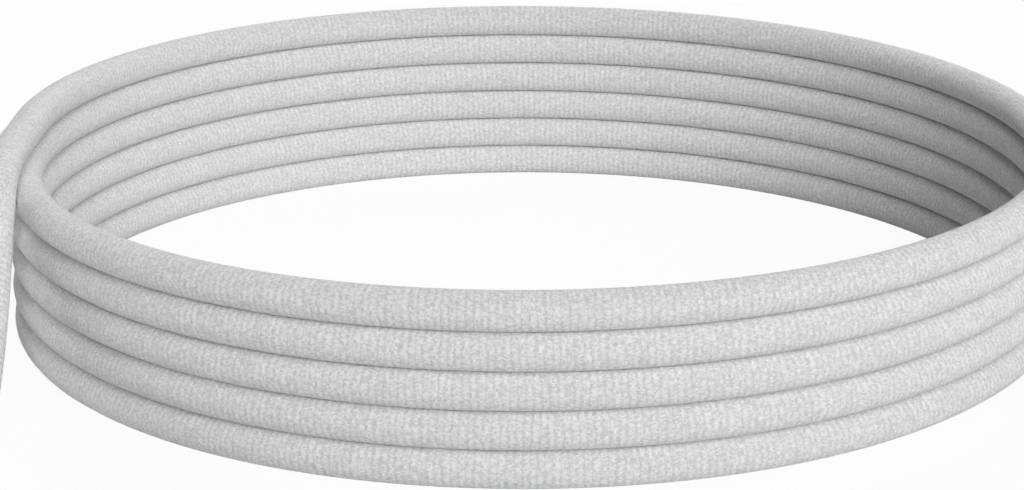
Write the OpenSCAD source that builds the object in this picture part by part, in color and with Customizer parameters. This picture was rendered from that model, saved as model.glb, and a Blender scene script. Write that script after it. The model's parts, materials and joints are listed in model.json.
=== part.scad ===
// Braided charging cable, wound into a ring of stacked turns, with a flat reversible plug on each end.
// Millimetres. The ring stands on z = 0 with its axis on Z. The plugs point to -Y.

/* [Cable] */
// Diameter of the braided cable
cable_d = 3.6; // [3.2:0.1:3.8]

/* [Coil] */
// Radius of the ring at the middle of the cable
coil_radius = 53.5; // [50:0.1:57]
// Strands that lie on each other at the back (the front has one less)
back_strands = 6; // [4:1:7]

/* [Plug place] */
// How far each plug's axis lies inside the ring's side
plug_inset = 2.8; // [2:0.1:4]
// Distance from the ring's axis to the front face of each housing
plug_front = 93; // [90:1:110]

/* [Steel shell] */
// Outside width of the shell
shell_w = 8.25; // [8.2:0.01:8.3]
// Outside height of the shell
shell_h = 2.4; // [2.36:0.01:2.44]
// Thickness of the shell's sheet
shell_wall = 0.25; // [0.2:0.01:0.3]
// Length of shell that stands out of the housing
shell_reach = 6.65; // [6.2:0.05:7]
// Length of shell held inside the housing
shell_root = 4; // [3:0.1:5]
// Radius of the rounded lip at the shell's mouth
shell_lip = 0.12; // [0.05:0.01:0.15]

/* [Contact carrier] */
// How far the carrier sits behind the shell's mouth
carrier_inset = 0.3; // [0.1:0.05:0.6]
// Length of carrier that stands out behind the shell
carrier_tail = 1.4; // [1:0.1:2]
// Wall of carrier left on each side of the slot for the socket's tongue
slot_side = 0.475; // [0.45:0.005:0.525]
// Height of the slot
slot_h = 0.86; // [0.8:0.01:0.9]
// Distance from the end of the slot to the housing's front face
slot_stop = 1.15; // [0.8:0.05:1.5]

/* [Contacts] */
// Contacts in each row
contact_count = 12; // [8:1:12]
// Room from the outer contact to the slot's side, in contact spacings
row_margin = 1.3; // [1:0.05:1.6]
// Width of one contact
contact_w = 0.25; // [0.2:0.01:0.3]
// Thickness of the contact strip
contact_t = 0.15; // [0.1:0.01:0.18]
// Distance from the carrier's front to the contacts' tips
contact_set = 0.4; // [0.3:0.05:0.8]
// How far the contact's nose dips towards the tongue
nose_dip = 0.16; // [0.1:0.01:0.2]
// Length of the nose along the slot
nose_len = 1; // [0.6:0.1:1.4]
// Length of the solder tail on the card
tail_len = 2; // [1.2:0.1:2.6]
// Length over which the strip steps down to the card
tail_step = 0.5; // [0.3:0.05:0.8]

/* [Latch spring] */
// Thickness of the latch plate
latch_t = 0.3; // [0.2:0.02:0.34]
// Width of each arm and of the bridge between them
latch_arm_w = 0.25; // [0.2:0.01:0.28]
// How far each hook reaches into the slot
latch_hook = 0.2; // [0.1:0.02:0.3]
// Length of each hook
hook_len = 0.8; // [0.5:0.1:1.2]
// Distance from the end of the slot to the bridge
bridge_set = 0.6; // [0.4:0.1:1.2]

/* [Card] */
// Thickness of the card
card_t = 0.6; // [0.4:0.05:0.7]
// Length of the card
card_len = 8.4; // [8:0.1:9]
// Side and length of the chip
chip_side = 2; // [1.6:0.1:2.4]
// Height of the chip
chip_h = 0.6; // [0.4:0.05:0.7]
// Distance from the card's front to the chip
chip_set = 3.4; // [3:0.1:3.8]
// Length of a capacitor
capacitor_len = 0.6; // [0.4:0.1:1]
// Width and height of a capacitor
capacitor_side = 0.3; // [0.2:0.05:0.5]
// Distance from one capacitor to the next
capacitor_pitch = 1.8; // [1.2:0.1:2.4]
// Number of capacitors
capacitor_count = 3; // [1:1:3]

/* [Conductors] */
// Diameter of one insulated wire
wire_d = 0.7; // [0.5:0.05:0.75]
// Distance from one wire to the next
wire_pitch = 0.95; // [0.8:0.05:1]
// Length of wire that lies on the card
wire_lap = 1.4; // [1:0.1:2]
// Wires on top of the card (one less lies below)
wire_count = 3; // [2:1:3]

/* [Shield can] */
// Thickness of the can's sheet
can_wall = 0.2; // [0.15:0.01:0.3]
// Length of can that laps over the shell
can_lap = 1.6; // [1:0.1:2.4]
// Distance from the card's end to the can's end
can_overhang = 0.6; // [0.4:0.1:1.2]

/* [Crimp ring] */
// Wall of the ring
crimp_wall = 0.35; // [0.25:0.01:0.45]
// Length of the ring
crimp_len = 2.8; // [2:0.1:4]

/* [Housing] */
// Width of the housing
housing_w = 11.2; // [10.6:0.1:12.4]
// Height of the housing
housing_h = 5.8; // [5.6:0.1:6.6]
// Radius of the rounded edges at both ends
housing_edge = 0.7; // [0.3:0.1:1]

/* [Strain relief] */
// Length of collar held inside the housing
relief_root = 1.8; // [1.2:0.1:2.6]
// Length of collar outside the housing
relief_len = 8; // [6:0.5:9]
// Wall of the collar inside the housing
relief_root_wall = 0.55; // [0.45:0.01:0.6]
// Wall of the collar against the housing's back face
relief_base_wall = 0.75; // [0.65:0.01:0.9]
// Wall of the collar at its tip
relief_tip_wall = 0.4; // [0.3:0.01:0.5]

/* [Clearance] */
// Room left round pieces that slide into each other
fit_gap = 0.03; // [0.01:0.01:0.05]

/* [Hidden] */
$fn = 64;
ring_fn = 180;
cord_sides = 8;
over = 1;

// Slope of the coil's half turns. Its sine is rounded up to four places, so that half turns meet exactly
// and neighbouring turns stay just clear of each other.
cable_r = cable_d / 2;
slope_sine = ceil(10000 * cable_r / 2 / coil_radius) / 10000;
slope = asin(slope_sine);
half_climb = 2 * coil_radius * slope_sine;
half_turns = 2 * back_strands - 1;

// Where the top turn ends: the coil leans to the left by the slope, so that its lowest half turn lies flat
top_rise = half_climb * (half_turns - 1);
top_z = cable_r + top_rise * cos(slope);
top_lean = top_rise * slope_sine;

// Sections inside the plug
shell_in_w = shell_w - 2 * shell_wall;
shell_in_h = shell_h - 2 * shell_wall;
slot_w = shell_in_w - 2 * slot_side;
can_w = shell_w + 2 * can_wall;
can_h = shell_h + 2 * can_wall;
card_w = shell_w - shell_h + sqrt(shell_h * shell_h - card_t * card_t) - 2 * fit_gap;
cable_bore_r = cable_r + fit_gap;
crimp_r = cable_bore_r + crimp_wall;
relief_root_r = cable_bore_r + relief_root_wall;

// Places along the plug, from the housing's front face towards the cable
carrier_front = carrier_inset - shell_reach;
carrier_back = shell_root + carrier_tail;
slot_end = -slot_stop;
card_back = carrier_back + card_len;
can_front = shell_root - can_lap;
can_back = card_back + can_overhang;
crimp_back = can_back + crimp_len;
housing_len = crimp_back + relief_root;

// Contact and latch places
contact_pitch = slot_w / (contact_count - 1 + 2 * row_margin);
beam_z = slot_h / 2 + fit_gap;
contact_front = carrier_front + contact_set;
latch_in = slot_w / 2 + fit_gap;
latch_out = latch_in + latch_arm_w;
bridge_y = slot_end + bridge_set;

// Route of the free ends: distance inside the coil's end, and Y. Both ends share this plan.
plug_z = housing_h / 2;
tail_plan = [
    [0, 0], [0, -5], [0, -10], [0.2, -15], [0.5, -20], [1, -25], [1.4, -30], [1.7, -35],
    [2, -40], [2.3, -45], [2.5, -50], [2.7, -55], [plug_inset, -60], [plug_inset, -65],
    [plug_inset, can_back - plug_front]
];
// Heights of the left end, which comes down from the top turn, and of the right end, which lies low
left_heights = [top_z, top_z, top_z, 19.8, 18.8, 15, 10, 5.9, 3.2, 2.1, cable_r, 2, 2.6, plug_z, plug_z];
right_heights = [for (i = [0:14]) i < 11 ? cable_r : left_heights[i]];

PLUG_PIECES = [
    "housing", "strain_relief", "steel_shell", "contact_carrier", "upper_contacts", "lower_contacts",
    "latch_spring", "paddle_card", "marker_chip", "capacitors", "conductors", "shield_can", "crimp_ring"
];

// Flat outline with round ends
module pill_2d(w, h) {
    square([w - h, h], center = true);
    for (side = [-1, 1])
        translate([side * (w - h) / 2, 0]) circle(d = h);
}

// Bar with a pill section, from y0 to y1
module pill_bar(w, h, y0, y1) {
    translate([0, y1, 0]) rotate([90, 0, 0]) linear_extrude(y1 - y0) pill_2d(w, h);
}

// Lays a flat drawing of (Y, Z) upright and gives it a width along X
module side_cut(w) {
    rotate([90, 0, 90]) linear_extrude(w, center = true) children();
}

// Half section of a round bar of radius r and length len, with rounded rims
module rounded_half_2d(r, len, edge) {
    square([r - edge, len]);
    translate([0, edge]) square([r, len - 2 * edge]);
    for (y = [edge, len - edge])
        translate([r - edge, y]) circle(edge);
}

// Pill bar with rounded rims at both ends, from y = 0 to len
module soft_pill_bar(w, h, len, edge) {
    side_cut(w - h) {
        rotate(-90) rounded_half_2d(h / 2, len, edge);
        mirror([0, 1]) rotate(-90) rounded_half_2d(h / 2, len, edge);
    }
    for (side = [-1, 1])
        translate([side * (w - h) / 2, 0, 0]) rotate([-90, 0, 0])
            rotate_extrude() rounded_half_2d(h / 2, len, edge);
}

// X of the coil's left (-1) or right (1) end
function end_x(side) = side < 0 ? -coil_radius - top_lean : coil_radius;

// Moves a piece from the plug's own place to the left (-1) or right (1) plug
module at_plug(side) {
    translate([end_x(side) - side * plug_inset, -plug_front, plug_z]) children();
}

// Half a turn of cable behind the X axis, climbing from right to left
module half_turn() {
    rotate([0, slope, 0]) rotate_extrude(angle = 180, $fn = ring_fn) translate([coil_radius, 0]) circle(cable_r);
}

// Half turns end to end, each turned about and lifted above the one before
module wound(count) {
    half_turn();
    if (count > 1)
        translate([0, 0, half_climb]) rotate([0, 0, 180]) wound(count - 1);
}

// Points of one free end's centre line
function tail_route(side, heights) =
    [for (i = [0:len(tail_plan) - 1])
        [end_x(side) - side * tail_plan[i].x, tail_plan[i].y, heights[i]]];

// Direction of a route at point i
function heading(route, i) =
    let (step = route[min(i + 1, len(route) - 1)] - route[max(i - 1, 0)]) step / norm(step);

// Ring of corners round point i of a route, with a flat side up
function cord_ring(route, i) =
    let (ahead = heading(route, i), across = cross(ahead, [0, 0, 1]), side = across / norm(across),
         up = cross(side, ahead))
    [for (k = [0:cord_sides - 1])
        let (turn = 360 * (k + 0.5) / cord_sides)
        route[i] + cable_r * (cos(turn) * side + sin(turn) * up)];

// One tube along a route
module cord_tube(route) {
    count = len(route);
    corners = [for (i = [0:count - 1]) each cord_ring(route, i)];
    walls = [for (i = [0:count - 2]) for (k = [0:cord_sides - 1])
        let (a = i * cord_sides + k, b = i * cord_sides + (k + 1) % cord_sides)
        [a, b, b + cord_sides, a + cord_sides]];
    start_cap = [[for (k = [cord_sides - 1:-1:0]) k]];
    end_cap = [[for (k = [0:cord_sides - 1]) (count - 1) * cord_sides + k]];
    polyhedron(corners, concat(walls, start_cap, end_cap));
}

// The stacked turns, one length of cable, leaning so that the lowest half turn lies flat
module coil() {
    color("gainsboro") translate([0, 0, cable_r]) rotate([0, -slope, 0]) wound(half_turns);
}

// Free end that comes down from the top turn
module left_tail() {
    color("gainsboro") cord_tube(tail_route(-1, left_heights));
}

// Free end that leaves the bottom turn
module right_tail() {
    color("gainsboro") cord_tube(tail_route(1, right_heights));
}

// Moulded body, hollow for the shell, the can, the crimp ring and the collar's root
module housing() {
    color("white") difference() {
        soft_pill_bar(housing_w, housing_h, housing_len, housing_edge);
        pill_bar(shell_w, shell_h, -over, can_front);
        pill_bar(can_w, can_h, can_front, can_back);
        translate([0, can_back, 0]) rotate([-90, 0, 0]) cylinder(r = crimp_r, h = crimp_len);
        translate([0, crimp_back, 0]) rotate([-90, 0, 0])
            cylinder(r = relief_root_r, h = relief_root + over);
    }
}

// Soft collar: a root inside the housing, a shoulder on its back face and a taper with a rounded tip
module strain_relief() {
    tip_r = relief_tip_wall / 2;
    tip_y = relief_root + relief_len - tip_r;
    color("whitesmoke") translate([0, crimp_back, 0]) rotate([-90, 0, 0]) rotate_extrude()
        translate([cable_bore_r, 0]) {
            square([relief_root_wall, relief_root]);
            polygon([[0, relief_root], [relief_base_wall, relief_root], [relief_tip_wall, tip_y], [0, tip_y]]);
            translate([tip_r, tip_y]) circle(tip_r);
        }
}

// Drawn steel mouth
module steel_shell() {
    color("silver") difference() {
        translate([0, -shell_reach, 0])
            soft_pill_bar(shell_w, shell_h, shell_reach + shell_root, shell_lip);
        pill_bar(shell_in_w, shell_in_h, -shell_reach - over, shell_root + over);
    }
}

// Latch outline, seen from above, grown by a clearance all round
module latch_2d(grow) {
    for (side = [0, 1]) mirror([side, 0]) {
        translate([latch_in - grow, contact_front - grow])
            square([latch_arm_w + 2 * grow, bridge_y + latch_arm_w - contact_front + 2 * grow]);
        polygon([
            [latch_in, contact_front], [latch_in, contact_front + hook_len],
            [latch_in - latch_hook, contact_front + hook_len / 2]
        ]);
    }
    translate([-latch_out - grow, bridge_y - grow]) square([2 * (latch_out + grow), latch_arm_w + 2 * grow]);
}

// Across-the-slot places of the contacts in one row
function contact_xs() = [for (i = [0:contact_count - 1]) (i - (contact_count - 1) / 2) * contact_pitch];

// Insulator with the tongue slot, a groove for each contact and a pocket for the latch
module contact_carrier() {
    groove_w = contact_w + 2 * fit_gap;
    groove_top = beam_z + contact_t + fit_gap;
    groove_len = carrier_back + over - contact_front + fit_gap;
    color("dimgray") difference() {
        pill_bar(shell_in_w, shell_in_h, carrier_front, carrier_back);
        translate([-slot_w / 2, carrier_front - over, -slot_h / 2])
            cube([slot_w, slot_end - carrier_front + over, slot_h]);
        translate([0, 0, -latch_t / 2 - fit_gap]) linear_extrude(latch_t + 2 * fit_gap) latch_2d(fit_gap);
        for (x = contact_xs()) for (face = [0, 1]) mirror([0, 0, face])
            translate([x - groove_w / 2, contact_front - fit_gap, slot_h / 2 - fit_gap])
                cube([groove_w, groove_len, groove_top - slot_h / 2 + fit_gap]);
    }
}

// Side view of one contact: a tip, a nose that dips, a straight beam and a tail that steps onto the card
module contact_2d() {
    card_top = card_t / 2;
    step_y = carrier_back + tail_step;
    tail_y = carrier_back + tail_len;
    polygon([
        [contact_front, beam_z + contact_t], [contact_front, beam_z],
        [contact_front + nose_len / 2, beam_z - nose_dip], [contact_front + nose_len, beam_z],
        [carrier_back, beam_z], [step_y, card_top], [tail_y, card_top], [tail_y, card_top + contact_t],
        [step_y, card_top + contact_t], [carrier_back, beam_z + contact_t]
    ]);
}

// One row of contacts
module contact_row() {
    for (x = contact_xs())
        translate([x, 0, 0]) side_cut(contact_w) contact_2d();
}

// Row above the slot
module upper_contacts() {
    color("gold") contact_row();
}

// Row below the slot
module lower_contacts() {
    color("gold") mirror([0, 0, 1]) contact_row();
}

// Steel spring that holds the plug in its socket
module latch_spring() {
    color("lightsteelblue") translate([0, 0, -latch_t / 2]) linear_extrude(latch_t) latch_2d(0);
}

// Circuit board behind the carrier
module paddle_card() {
    color("seagreen") translate([-card_w / 2, carrier_back, -card_t / 2]) cube([card_w, card_len, card_t]);
}

// Chip on top of the board
module marker_chip() {
    color("black") translate([-chip_side / 2, carrier_back + chip_set, card_t / 2])
        cube([chip_side, chip_side, chip_h]);
}

// Capacitors under the board
module capacitors() {
    color("tan") for (i = [0:capacitor_count - 1])
        translate([(i - (capacitor_count - 1) / 2) * capacitor_pitch - capacitor_side / 2,
                   carrier_back + chip_set, -card_t / 2 - capacitor_side])
            cube([capacitor_side, capacitor_len, capacitor_side]);
}

// One flat row of wires on the board's face, ending at the cable's end
module wire_row(count) {
    for (i = [0:count - 1])
        translate([(i - (count - 1) / 2) * wire_pitch, card_back - wire_lap, (card_t + wire_d) / 2])
            rotate([-90, 0, 0]) cylinder(d = wire_d, h = wire_lap + can_overhang);
}

// Insulated wires, above and below the board
module conductors() {
    color("firebrick") {
        wire_row(wire_count);
        mirror([0, 0, 1]) wire_row(wire_count - 1);
    }
}

// Steel sleeve that laps over the shell's root and covers the board
module shield_can() {
    color("lightgray") difference() {
        pill_bar(can_w, can_h, can_front, can_back);
        pill_bar(shell_w, shell_h, can_front - over, can_back + over);
    }
}

// Steel ring round the cable's end
module crimp_ring() {
    color("darkgray") translate([0, can_back, 0]) rotate([-90, 0, 0]) rotate_extrude()
        translate([cable_bore_r, 0]) square([crimp_wall, crimp_len]);
}

coil();
left_tail();
right_tail();

at_plug(-1) housing();  // left_housing
at_plug(-1) strain_relief();  // left_strain_relief
at_plug(-1) steel_shell();  // left_steel_shell
at_plug(-1) contact_carrier();  // left_contact_carrier
at_plug(-1) upper_contacts();  // left_upper_contacts
at_plug(-1) lower_contacts();  // left_lower_contacts
at_plug(-1) latch_spring();  // left_latch_spring
at_plug(-1) paddle_card();  // left_paddle_card
at_plug(-1) marker_chip();  // left_marker_chip
at_plug(-1) capacitors();  // left_capacitors
at_plug(-1) conductors();  // left_conductors
at_plug(-1) shield_can();  // left_shield_can
at_plug(-1) crimp_ring();  // left_crimp_ring

at_plug(1) housing();  // right_housing
at_plug(1) strain_relief();  // right_strain_relief
at_plug(1) steel_shell();  // right_steel_shell
at_plug(1) contact_carrier();  // right_contact_carrier
at_plug(1) upper_contacts();  // right_upper_contacts
at_plug(1) lower_contacts();  // right_lower_contacts
at_plug(1) latch_spring();  // right_latch_spring
at_plug(1) paddle_card();  // right_paddle_card
at_plug(1) marker_chip();  // right_marker_chip
at_plug(1) capacitors();  // right_capacitors
at_plug(1) conductors();  // right_conductors
at_plug(1) shield_can();  // right_shield_can
at_plug(1) crimp_ring();  // right_crimp_ring
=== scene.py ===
"""Looks of the wound charging cable: one braided cord, two moulded plugs, a white studio and the camera.

Lengths are metres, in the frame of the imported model.
"""
import json
import math

import bpy
from mathutils import Matrix, Vector


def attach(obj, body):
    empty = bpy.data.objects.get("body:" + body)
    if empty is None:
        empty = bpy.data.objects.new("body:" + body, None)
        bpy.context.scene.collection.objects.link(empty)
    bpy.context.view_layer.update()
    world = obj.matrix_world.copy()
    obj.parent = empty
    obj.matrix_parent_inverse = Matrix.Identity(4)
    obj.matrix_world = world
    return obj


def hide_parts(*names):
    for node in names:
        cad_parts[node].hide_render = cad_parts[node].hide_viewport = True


# Cable and coil, as in the part's source
CABLE_R = 0.0018
COIL_RADIUS = 0.0535
SLOPE_SINE = 0.0169
SLOPE = math.asin(SLOPE_SINE)
HALF_CLIMB = 2 * COIL_RADIUS * SLOPE_SINE
HALF_TURNS = 11
TOP_RISE = HALF_CLIMB * (HALF_TURNS - 1)
TOP_Z = CABLE_R + TOP_RISE * math.cos(SLOPE)
TOP_LEAN = TOP_RISE * SLOPE_SINE

# A true helix dips below the sloping half rings of the solids by about this much
HELIX_LIFT = 0.00022

# From the coil's own upright frame to the leaning place where its lowest half turn lies flat
LEAN = Matrix.Translation((0, 0, CABLE_R + HELIX_LIFT)) @ Matrix.Rotation(-SLOPE, 4, "Y")

# Route of the free ends: distance inside the coil's end, and Y
PLUG_INSET = 0.0028
CORD_END_Y = -0.0786
TAIL_PLAN = [
    (0, 0), (0, -0.005), (0, -0.010), (0.0002, -0.015), (0.0005, -0.020), (0.001, -0.025), (0.0014, -0.030),
    (0.0017, -0.035), (0.002, -0.040), (0.0023, -0.045), (0.0025, -0.050), (0.0027, -0.055),
    (PLUG_INSET, -0.060), (PLUG_INSET, -0.065), (PLUG_INSET, CORD_END_Y),
]

# Heights at those points: the left end comes down from the top turn, the right one's first points lie on the
# floor, and both end at the height of the plugs
PLUG_Z = 0.0029
LEFT_HEIGHTS = [
    TOP_Z, TOP_Z, TOP_Z, 0.0198, 0.0188, 0.015, 0.010, 0.0059, 0.0032, 0.0021, CABLE_R, 0.002, 0.0026,
    PLUG_Z, PLUG_Z,
]
FLOOR_POINTS = 11
RIGHT_HEIGHTS = [CABLE_R] * FLOOR_POINTS + LEFT_HEIGHTS[FLOOR_POINTS:]

# Number of points over which the helix's lift fades out on a free end
LIFT_FADE = 4

# Detail of the cord's mesh
POINTS_PER_TURN = 66
STEPS_PER_POINT = 3
CORD_SIDES = 24

# Flat layout of the cord's surface: the name of its map, the number of strips, and the room at their edges
STRIP_MAP = "OFBake"
STRIPS = 13
STRIP_ROOM = 0.03

# Braid: spacing of its ribs along the cable in millimetres, knots in one turn round it, and yarns in a rib
BRAID_MAP = "braid"
RIB_MM = 0.67
KNOTS = 66
YARNS_PER_RIB = 3

# Patches of noise in the braid: length along the cable in millimetres, and number of them per radius round it
WANDER_PATCH = (2.5, 0.4)
YARN_PATCH = (0.18, 3.0)
FIBRE_PATCH = (0.08, 18.0)

# Height of a rib between its knots and on them, and strength of the knots' tone between the ribs and on them
# Their low ends also darken the braid's colour in the dips between ribs and knots: painted shade
BEAD_RANGE = (0.5, 1.0)
KNOT_RANGE = (0.75, 1.0)

# Shares of relief, knots, yarns and fibres in the braid's tone and in its height; the relief's share paints
# shade into the dips
SHADE_SHARES = (0.2, 0.6, 0.5, 1.0)
HEIGHT_SHARES = (1.0, 0.6, 0.5, 0.8)

# Braid's darkest and lightest grey, what is taken off its shade, its height in metres, and its gloss
BRAID_DARK = 0.6
BRAID_LIGHT = 0.98
BRAID_SHADE_OFF = 0.64
BRAID_DEPTH = 0.00003
BRAID_ROUGHNESS = (0.75, 0.9)
BRAID_SCATTER = 0.4
BRAID_SPECULAR = 0.2

# Plugs: strength of reflections on plastic, size in grains and detail of broad patches of tone, and how the
# grain is squeezed along each axis, where it is even and where it is drawn out along the plug
PLUG_SPECULAR = 0.25
BROAD_GRAINS = 12
BROAD_DETAIL = 3.0
EVEN = (1, 1, 1)
DRAWN = (1, 0.06, 1)

# Camera, in the coil's own frame and aimed at its middle
CAMERA_DISTANCE = 0.265
CAMERA_ELEVATION = math.radians(16.77)
CAMERA_LENS_MM = 87.3
CAMERA_SENSOR_MM = 36
CAMERA_SHIFT = (-0.0268, -0.0331)

# Studio: strength of the ambient light, side of the floor, its colour as a reflector and as it looks, and the
# share of plain white in its look
AMBIENT = 0.01
FLOOR_SIDE = 4
FLOOR_BOUNCE = 0.7
FLOOR_LOOK = 0.95
FLOOR_WHITENING = 0.94

# Lamps: name, azimuth from the camera's side and elevation in degrees, width and height in metres, and watts
LAMP_DISTANCE = 2.7
LAMPS = [
    ("key", 20, 20, 2.4, 0.8, 37),
    ("high", 20, 45, 2.4, 1.7, 27),
    ("right", 100, 18, 1.5, 0.9, 2),
    ("back", 180, 45, 3.0, 2.1, 38),
    ("left_low", 245, 0.8, 1.5, 0.06, 17),
    ("back_low", 150, 0.8, 1.5, 0.06, 16),
]

WHITE = (1, 1, 1, 1)

# Places of the colour sockets on a Mix node, whose other kinds of sockets have the same names
MIX_LOW = 6
MIX_HIGH = 7
MIX_RESULT = 2


class Graph:
    """A new material with a Principled shader, and short ways to add nodes to it."""

    def __init__(self, name):
        self.material = bpy.data.materials.new(name)
        self.material.use_nodes = True
        self.tree = self.material.node_tree
        self.shader = self.tree.nodes["Principled BSDF"]

    def put(self, socket, value):
        """Links a socket or sets a value."""
        if isinstance(value, bpy.types.NodeSocket):
            self.tree.links.new(value, socket)
        else:
            socket.default_value = value

    def math(self, operation, first, second=0.0):
        """One step of arithmetic on one or two values."""
        node = self.tree.nodes.new("ShaderNodeMath")
        node.operation = operation
        self.put(node.inputs[0], first)
        self.put(node.inputs[1], second)
        return node.outputs[0]

    def total(self, *parts):
        """Sum of values, each with its weight."""
        result = 0.0
        for value, weight in parts:
            node = self.tree.nodes.new("ShaderNodeMath")
            node.operation = "MULTIPLY_ADD"
            self.put(node.inputs[0], value)
            node.inputs[1].default_value = weight
            self.put(node.inputs[2], result)
            result = node.outputs[0]
        return result

    def blend(self, factor, low, high):
        """Colour between low and high."""
        node = self.tree.nodes.new("ShaderNodeMix")
        node.data_type = "RGBA"
        self.put(node.inputs["Factor"], factor)
        self.put(node.inputs[MIX_LOW], low)
        self.put(node.inputs[MIX_HIGH], high)
        return node.outputs[MIX_RESULT]

    def spread(self, value, low, high):
        """Maps a value from 0..1 to low..high."""
        node = self.tree.nodes.new("ShaderNodeMapRange")
        self.put(node.inputs["Value"], value)
        node.inputs["To Min"].default_value = low
        node.inputs["To Max"].default_value = high
        return node.outputs["Result"]

    def place(self, stretch):
        """Position on the piece in metres, squeezed along each axis by stretch."""
        where = self.tree.nodes.new("ShaderNodeTexCoord").outputs["Object"]
        node = self.tree.nodes.new("ShaderNodeMapping")
        self.put(node.inputs["Vector"], where)
        node.inputs["Scale"].default_value = stretch
        return node.outputs["Vector"]

    def noise(self, vector, grain, detail=2.0):
        """Soft noise whose patches are about grain metres across."""
        node = self.tree.nodes.new("ShaderNodeTexNoise")
        self.put(node.inputs["Vector"], vector)
        node.inputs["Scale"].default_value = 1 / grain
        node.inputs["Detail"].default_value = detail
        return node.outputs["Fac"]

    def bump(self, height, depth):
        """Relief of the given depth in metres on the shader's normal."""
        node = self.tree.nodes.new("ShaderNodeBump")
        node.inputs["Distance"].default_value = depth
        self.put(node.inputs["Height"], height)
        self.put(self.shader.inputs["Normal"], node.outputs["Normal"])

    def set(self, **values):
        """Sets or links the shader's sockets, with _ for a space in their names."""
        for name, value in values.items():
            self.put(self.shader.inputs[name.replace("_", " ")], value)


def grey(level):
    """Grey of one level, as a colour."""
    return (level, level, level, 1)


def coil_route():
    """Points of the helix, from the right end of the lowest turn to the left end of the top one."""
    count = POINTS_PER_TURN * HALF_TURNS // 2
    points = []
    for i in range(count + 1):
        angle = math.pi * HALF_TURNS * i / count
        rise = HALF_CLIMB * (angle / math.pi - 0.5)
        points.append(LEAN @ Vector((COIL_RADIUS * math.cos(angle), COIL_RADIUS * math.sin(angle), rise)))
    return points


def tail_route(side, heights):
    """Points of one free end after the coil, towards its plug."""
    end_x = COIL_RADIUS if side > 0 else -COIL_RADIUS - TOP_LEAN
    points = []
    for i, (inset, y) in enumerate(TAIL_PLAN):
        lift = HELIX_LIFT * max(0, 1 - i / LIFT_FADE)
        points.append(Vector((end_x - side * inset, y, heights[i] + lift)))
    return points[1:]


def smooth(points, steps):
    """Points along one smooth curve through the given ones."""
    padded = [2 * points[0] - points[1]] + points + [2 * points[-1] - points[-2]]
    curve = []
    for p0, p1, p2, p3 in zip(padded, padded[1:], padded[2:], padded[3:]):
        for k in range(steps):
            t = k / steps
            curve.append(0.5 * (2 * p1 + (p2 - p0) * t + (2 * p0 - 5 * p1 + 4 * p2 - p3) * t ** 2
                                + (3 * p1 - p0 - 3 * p2 + p3) * t ** 3))
    return curve + [points[-1].copy()]


def above_floor(points):
    """The same points, lifted where a cord round them would sink into the floor."""
    return [Vector((p.x, p.y, max(p.z, CABLE_R))) for p in points]


def ring(before, here, after):
    """Corners round one point of the cord."""
    ahead = (after - before).normalized()
    side = ahead.cross(Vector((0, 0, 1))).normalized()
    up = side.cross(ahead)
    turns = [2 * math.pi * k / CORD_SIDES for k in range(CORD_SIDES)]
    return [here - CABLE_R * (math.sin(t) * side + math.cos(t) * up) for t in turns]


def tube_faces(count):
    """Quads between the rings, and a cap on each end."""
    faces = []
    for i in range(count - 1):
        for k in range(CORD_SIDES):
            a = i * CORD_SIDES + k
            b = i * CORD_SIDES + (k + 1) % CORD_SIDES
            faces.append((a, b, b + CORD_SIDES, a + CORD_SIDES))
    faces.append(tuple(range(CORD_SIDES - 1, -1, -1)))
    faces.append(tuple((count - 1) * CORD_SIDES + k for k in range(CORD_SIDES)))
    return faces


def face_corners(mesh):
    """For each face, its corners: the loop, the number of the ring, and the place round the ring in turns."""
    for face in mesh.polygons:
        places = [divmod(mesh.loops[loop].vertex_index, CORD_SIDES) for loop in face.loop_indices]
        crosses_seam = max(k for _, k in places) - min(k for _, k in places) > 1
        turns = [1 if crosses_seam and k == 0 else k / CORD_SIDES for _, k in places]
        yield [(loop, i, turn) for loop, (i, _), turn in zip(face.loop_indices, places, turns)]


def lay_braid_map(mesh, path):
    """Gives each face its place along the cord in millimetres, and round it in turns."""
    along = [0.0]
    for here, after in zip(path, path[1:]):
        along.append(along[-1] + 1000 * (after - here).length)
    layer = mesh.uv_layers.new(name=BRAID_MAP)
    for corners in face_corners(mesh):
        for loop, i, turn in corners:
            layer.data[loop].uv = (along[i], turn)


def lay_strip_map(mesh, ring_count):
    """Lays the cord's surface out flat, in strips one above the other, as room for painted textures."""
    per_strip = math.ceil((ring_count - 1) / STRIPS)
    layer = mesh.uv_layers.new(name=STRIP_MAP)
    for corners in face_corners(mesh):
        strip = min(i for _, i, _ in corners) // per_strip
        for loop, i, turn in corners:
            across = STRIP_ROOM + (1 - 2 * STRIP_ROOM) * turn
            layer.data[loop].uv = (i / per_strip - strip, (strip + across) / STRIPS)


def make_cord(path):
    """One tube along the whole path."""
    corners = []
    for i, here in enumerate(path):
        before = path[max(i - 1, 0)]
        after = path[min(i + 1, len(path) - 1)]
        corners += ring(before, here, after)
    mesh = bpy.data.meshes.new("cord")
    mesh.from_pydata(corners, [], tube_faces(len(path)))
    lay_braid_map(mesh, path)
    lay_strip_map(mesh, len(path))
    mesh.shade_smooth()
    cord = bpy.data.objects.new("cord", mesh)
    bpy.context.scene.collection.objects.link(cord)
    return cord


def streaks(g, along, around, patch):
    """Noise that follows the cable, in patches of a length along it and a number per radius round it."""
    length_mm, per_radius = patch
    turn = g.math("MULTIPLY", around, 2 * math.pi)
    node = g.tree.nodes.new("ShaderNodeCombineXYZ")
    g.put(node.inputs["X"], g.math("DIVIDE", along, length_mm))
    g.put(node.inputs["Y"], g.math("MULTIPLY", g.math("COSINE", turn), per_radius))
    g.put(node.inputs["Z"], g.math("MULTIPLY", g.math("SINE", turn), per_radius))
    return g.noise(node.outputs[0], 1.0)


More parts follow.
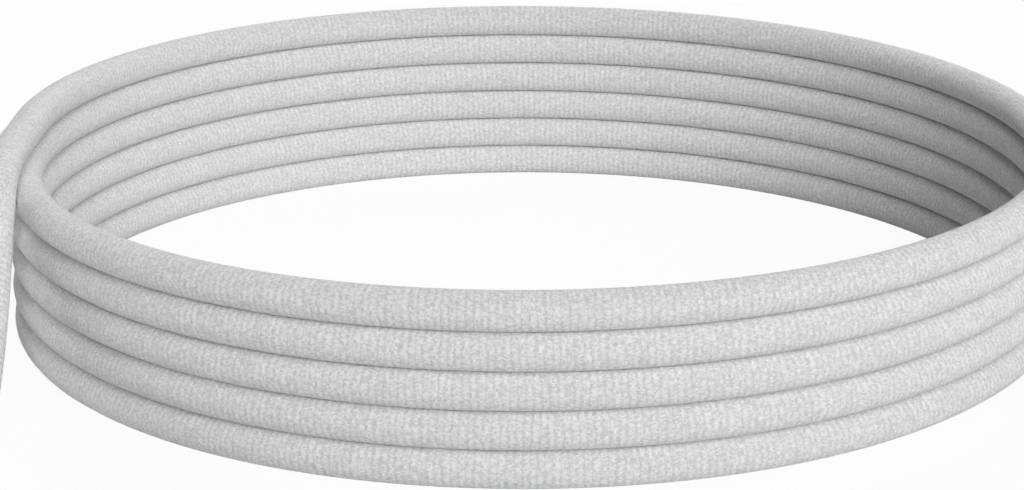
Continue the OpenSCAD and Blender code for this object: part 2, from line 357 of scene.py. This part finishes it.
def per_knot(g, yarn_count, knot_count):
    """A number from 0 to 1 for each knot of the braid, as if drawn by lot."""
    node = g.tree.nodes.new("ShaderNodeCombineXYZ")
    g.put(node.inputs["X"], g.math("FLOOR", yarn_count))
    g.put(node.inputs["Y"], g.math("FLOOR", knot_count))
    lot = g.tree.nodes.new("ShaderNodeTexWhiteNoise")
    lot.noise_dimensions = "2D"
    g.put(lot.inputs["Vector"], node.outputs[0])
    return lot.outputs["Value"]


def humps(g, count):
    """A row of rounded humps, from 0 at each whole number of the count to 1 between them."""
    return g.math("ABSOLUTE", g.math("SINE", g.math("MULTIPLY", count, math.pi)))


def braid_place(g):
    """Place on the cord: millimetres along it, and turns round it."""
    uv = g.tree.nodes.new("ShaderNodeUVMap")
    uv.uv_map = BRAID_MAP
    parts = g.tree.nodes.new("ShaderNodeSeparateXYZ")
    g.put(parts.inputs[0], uv.outputs[0])
    return parts.outputs["X"], parts.outputs["Y"]


def braid_material():
    """Fine braid: ribs round the cable, each made of small knots, with uneven yarns and loose fibres, and
    painted shade that darkens the dips between ribs and knots.
    """
    g = Graph("braid")
    along, around = braid_place(g)
    wander = streaks(g, along, around, WANDER_PATCH)
    rib_count = g.total((along, 1 / RIB_MM), (wander, 1.0))
    rib = humps(g, rib_count)
    yarn_count = g.math("MULTIPLY", rib_count, YARNS_PER_RIB)
    stagger = g.math("FLOORED_MODULO", g.math("FLOOR", yarn_count), 2.0)
    knot_count = g.total((around, KNOTS), (stagger, 0.5))
    # The relief also serves as a painted-shade mask: the colour is darker in the dips between ribs and knots
    relief_and_painted_shade = g.math("MULTIPLY", rib, g.spread(humps(g, knot_count), *BEAD_RANGE))
    # Knots are darker between the ribs than on them: painted shade in the gaps, over a random tone for each
    # knot
    knot = g.math("MULTIPLY", per_knot(g, yarn_count, knot_count), g.spread(rib, *KNOT_RANGE))
    yarn = streaks(g, along, around, YARN_PATCH)
    fibre = streaks(g, along, around, FIBRE_PATCH)
    layers = (relief_and_painted_shade, knot, yarn, fibre)
    # Colour from the layers: painted shade from the relief and the knots, random tone from the yarns and
    # fibres
    tone = g.math("SUBTRACT", g.total(*zip(layers, SHADE_SHARES)), BRAID_SHADE_OFF)
    colour = g.blend(tone, grey(BRAID_DARK), grey(BRAID_LIGHT))
    g.set(Base_Color=colour, Roughness=g.spread(fibre, *BRAID_ROUGHNESS))
    g.set(Diffuse_Roughness=BRAID_SCATTER, Specular_IOR_Level=BRAID_SPECULAR)
    g.bump(g.total(*zip(layers, HEIGHT_SHARES)), BRAID_DEPTH)
    return g.material


def moulded_material(name, low, high, roughness, grain, depth, metallic=0.0, stretch=EVEN):
    """Surface with grain of one size and depth: colour between low and high, and roughness from a pair."""
    g = Graph(name)
    place = g.place(stretch)
    fine = g.noise(place, grain)
    broad = g.noise(place, BROAD_GRAINS * grain, BROAD_DETAIL)
    g.set(Base_Color=g.blend(broad, low, high), Roughness=g.spread(fine, *roughness))
    g.set(Metallic=metallic, Specular_IOR_Level=PLUG_SPECULAR)
    g.bump(fine, depth)
    return g.material


def plug_materials():
    """One material for each slot of the plug's pieces."""
    # Two colours, range of roughness, grain and depth in metres, and for metals 1.0 and how they are drawn
    finishes = {
        "housing_plastic": (grey(0.76), grey(0.82), (0.5, 0.65), 0.00012, 0.000003),
        "soft_collar": (grey(0.72), grey(0.79), (0.65, 0.8), 0.0001, 0.000006),
        "shell_steel": (grey(0.46), grey(0.56), (0.32, 0.46), 0.00006, 0.000001, 1.0, DRAWN),
        "spring_steel": (grey(0.5), grey(0.6), (0.25, 0.4), 0.00005, 0.000001, 1.0, DRAWN),
        "can_steel": (grey(0.48), grey(0.58), (0.3, 0.45), 0.00008, 0.000001, 1.0, DRAWN),
        "contact_gold": ((0.78, 0.52, 0.2, 1), (0.88, 0.63, 0.28, 1), (0.18, 0.3), 0.00004, 0.000001, 1.0),
        "insulator": (grey(0.02), grey(0.035), (0.45, 0.65), 0.00008, 0.000003),
        "board": ((0.01, 0.09, 0.04, 1), (0.02, 0.13, 0.06, 1), (0.25, 0.4), 0.00015, 0.000002),
        "chip_resin": (grey(0.015), grey(0.03), (0.5, 0.7), 0.00005, 0.000003),
        "ceramic": ((0.3, 0.2, 0.11, 1), (0.38, 0.26, 0.15, 1), (0.45, 0.6), 0.00005, 0.000002),
        "wire_jacket": ((0.36, 0.03, 0.025, 1), (0.45, 0.045, 0.035, 1), (0.35, 0.5), 0.00008, 0.000002),
    }
    return {slot: moulded_material(slot, *finish) for slot, finish in finishes.items()}


def dress_plugs(frame):
    """Gives every piece of both plugs the material of its slot."""
    materials = plug_materials()
    for part in frame["record"]["subparts"]:
        if part["material_slot"] in materials:
            mesh = frame["nodes"][part["node"]].data
            mesh.materials.clear()
            mesh.materials.append(materials[part["material_slot"]])


def seen_directly(tree):
    """1 for rays that show the surface itself or its mirror image, and 0 for rays that light the object."""
    path = tree.nodes.new("ShaderNodeLightPath")
    total = path.outputs["Is Camera Ray"]
    for name in ("Is Glossy Ray", "Is Transmission Ray"):
        node = tree.nodes.new("ShaderNodeMath")
        node.operation = "MAXIMUM"
        tree.links.new(total, node.inputs[0])
        tree.links.new(path.outputs[name], node.inputs[1])
        total = node.outputs[0]
    return total


def make_world():
    """Even ambient light, with a white background."""
    world = bpy.data.worlds.new("studio")
    bpy.context.scene.world = world
    world.use_nodes = True
    tree = world.node_tree
    dim = tree.nodes["Background"]
    dim.inputs["Color"].default_value = WHITE
    dim.inputs["Strength"].default_value = AMBIENT
    white = tree.nodes.new("ShaderNodeBackground")
    white.inputs["Color"].default_value = WHITE
    white.inputs["Strength"].default_value = 1.0
    mix = tree.nodes.new("ShaderNodeMixShader")
    tree.links.new(seen_directly(tree), mix.inputs["Fac"])
    tree.links.new(dim.outputs[0], mix.inputs[1])
    tree.links.new(white.outputs[0], mix.inputs[2])
    tree.links.new(mix.outputs[0], tree.nodes["World Output"].inputs["Surface"])


def floor_material():
    """Matt white with a faint shadow: it looks whiter than the light that it throws back."""
    material = bpy.data.materials.new("floor")
    material.use_nodes = True
    tree = material.node_tree
    tree.nodes.remove(tree.nodes["Principled BSDF"])
    seen = seen_directly(tree)
    share = tree.nodes.new("ShaderNodeMath")
    share.operation = "MULTIPLY"
    tree.links.new(seen, share.inputs[0])
    share.inputs[1].default_value = FLOOR_WHITENING
    tone = tree.nodes.new("ShaderNodeMix")
    tone.data_type = "RGBA"
    tree.links.new(seen, tone.inputs["Factor"])
    tone.inputs[MIX_LOW].default_value = grey(FLOOR_BOUNCE)
    tone.inputs[MIX_HIGH].default_value = grey(FLOOR_LOOK)
    matt = tree.nodes.new("ShaderNodeBsdfDiffuse")
    tree.links.new(tone.outputs[MIX_RESULT], matt.inputs["Color"])
    glow = tree.nodes.new("ShaderNodeEmission")
    mix = tree.nodes.new("ShaderNodeMixShader")
    tree.links.new(share.outputs[0], mix.inputs["Fac"])
    tree.links.new(matt.outputs[0], mix.inputs[1])
    tree.links.new(glow.outputs[0], mix.inputs[2])
    tree.links.new(mix.outputs[0], tree.nodes["Material Output"].inputs["Surface"])
    return material


def make_floor():
    """Square floor under the coil."""
    half = FLOOR_SIDE / 2
    corners = [(-half, -half, 0), (half, -half, 0), (half, half, 0), (-half, half, 0)]
    mesh = bpy.data.meshes.new("floor")
    mesh.from_pydata(corners, [], [(0, 1, 2, 3)])
    mesh.materials.append(floor_material())
    floor = bpy.data.objects.new("floor", mesh)
    bpy.context.scene.collection.objects.link(floor)


def area_light(name, azimuth, elevation, width, height, power):
    """Rectangular lamp aimed at the coil. Azimuth is from the camera's side, positive to the right."""
    turn = math.radians(azimuth)
    lift = math.radians(elevation)
    away = Vector((math.sin(turn) * math.cos(lift), -math.cos(turn) * math.cos(lift), math.sin(lift)))
    data = bpy.data.lights.new(name, "AREA")
    data.shape = "RECTANGLE"
    data.size = width
    data.size_y = height
    data.energy = power
    lamp = bpy.data.objects.new(name, data)
    lamp.location = Vector((0, 0, TOP_Z / 2)) + LAMP_DISTANCE * away
    lamp.rotation_euler = (-away).to_track_quat("-Z", "Y").to_euler()
    bpy.context.scene.collection.objects.link(lamp)


def make_camera():
    """Camera at the photograph's viewing angle."""
    sine = math.sin(CAMERA_ELEVATION)
    cosine = math.cos(CAMERA_ELEVATION)
    back = Vector((0, -cosine, sine))
    eye = Vector((0, 0, TOP_RISE / 2)) + CAMERA_DISTANCE * back
    upright = Matrix((
        (1, 0, back.x, eye.x),
        (0, sine, back.y, eye.y),
        (0, cosine, back.z, eye.z),
        (0, 0, 0, 1),
    ))
    data = bpy.data.cameras.new("camera")
    data.sensor_width = CAMERA_SENSOR_MM
    data.lens = CAMERA_LENS_MM
    data.shift_x, data.shift_y = CAMERA_SHIFT
    camera = bpy.data.objects.new("camera", data)
    camera.matrix_world = LEAN @ upright
    bpy.context.scene.collection.objects.link(camera)
    bpy.context.scene.camera = camera


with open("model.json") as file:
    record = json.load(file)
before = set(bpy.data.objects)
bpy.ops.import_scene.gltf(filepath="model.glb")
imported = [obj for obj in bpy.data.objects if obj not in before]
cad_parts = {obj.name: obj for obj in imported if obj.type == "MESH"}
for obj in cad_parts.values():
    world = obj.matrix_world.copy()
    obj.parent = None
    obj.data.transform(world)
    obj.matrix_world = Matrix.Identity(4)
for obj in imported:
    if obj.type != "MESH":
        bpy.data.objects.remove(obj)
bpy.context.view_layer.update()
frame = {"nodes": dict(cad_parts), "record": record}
bpy.context.scene.view_settings.view_transform = "Standard"
make_camera()

right_end = tail_route(1, RIGHT_HEIGHTS)
left_end = tail_route(-1, LEFT_HEIGHTS)
cord_path = above_floor(smooth(right_end[::-1] + coil_route() + left_end, STEPS_PER_POINT))
cord = make_cord(cord_path)
cord.data.materials.append(braid_material())
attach(cord, "root")
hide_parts("coil", "left_tail", "right_tail")

dress_plugs(frame)
make_world()
make_floor()
for lamp_row in LAMPS:
    area_light(*lamp_row)
